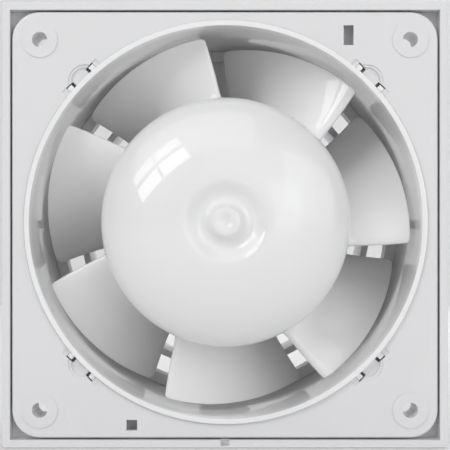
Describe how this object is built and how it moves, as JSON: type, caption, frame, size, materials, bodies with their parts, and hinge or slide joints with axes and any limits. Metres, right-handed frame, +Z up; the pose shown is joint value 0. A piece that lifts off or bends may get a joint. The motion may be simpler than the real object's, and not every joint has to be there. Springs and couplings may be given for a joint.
{
  "type": "bathroom extractor fan",
  "caption": "Square wall-mounted axial bathroom extractor fan with its front panel off: domed impeller in a round duct sleeve, motor on a rear spider.",
  "frame": {"origin": "on the fan's axis, in the plane of the wall that the surround frame lies on", "axes": "+Z up, +Y along the fan's axis into the wall and the duct, -Y towards the room, +X to the right seen from the room"},
  "size_m": [0.165, 0.1139, 0.165],
  "materials": {
    "white_housing": "glossy moulded white plastic",
    "white_bracket": "satin moulded white plastic",
    "white_impeller": "polished moulded white plastic",
    "foam": "closed-cell foam",
    "rubber": "matt black rubber",
    "zinc_steel": "bright zinc plate",
    "ground_steel": "ground steel",
    "brass": "nickel-free brass",
    "copper": "bare copper",
    "terminal_plastic": "pale polyamide",
    "bobbin_plastic": "black glass-filled polyamide",
    "winding_tape": "yellow winding tape",
    "brown_insulation": "brown wire insulation",
    "blue_insulation": "blue wire insulation",
    "lamination_steel": "stamped electrical steel",
    "cast_alloy": "die-cast alloy",
    "sintered_bronze": "oil-filled sintered bronze",
    "washer_fibre": "laminated fibre"
  },
  "bodies": {
    "housing": {"surround_frame": "white_housing", "base_plate": "white_housing", "duct_sleeve": "white_housing", "foam_seal": "foam", "motor_cup": "white_bracket", "motor_spider": "white_bracket", "cable_grommet": "rubber", "cable_clamp": "white_bracket", "cable_clamp_screws": "zinc_steel", "terminal_block": "terminal_plastic", "terminal_screws": "brass", "rear_cover": "white_bracket", "rear_cover_screws": "zinc_steel", "live_lead": "brown_insulation", "neutral_lead": "blue_insulation", "stator_stack": "lamination_steel", "shading_rings": "copper", "coil_bobbin": "bobbin_plastic", "coil_winding": "winding_tape", "thermal_fuse": "bobbin_plastic", "motor_front_bracket": "cast_alloy", "motor_rear_bracket": "cast_alloy", "front_bearing": "sintered_bronze", "rear_bearing": "sintered_bronze", "motor_tie_screws": "zinc_steel", "rubber_dampers": "rubber", "motor_mount_screws": "zinc_steel"},
    "rotor": {"impeller_hub": "white_impeller", "impeller_blades": "white_impeller", "impeller_clamp_ring": "zinc_steel", "motor_shaft": "ground_steel", "rotor_core": "lamination_steel", "rotor_cage": "cast_alloy", "thrust_washers": "washer_fibre"}
  },
  "joints": [
    {"name": "impeller_spin", "type": "hinge", "parent": "housing", "child": "rotor", "pos_m": [0, 0, 0], "axis": [0, 1, 0], "continuous": true}
  ]
}
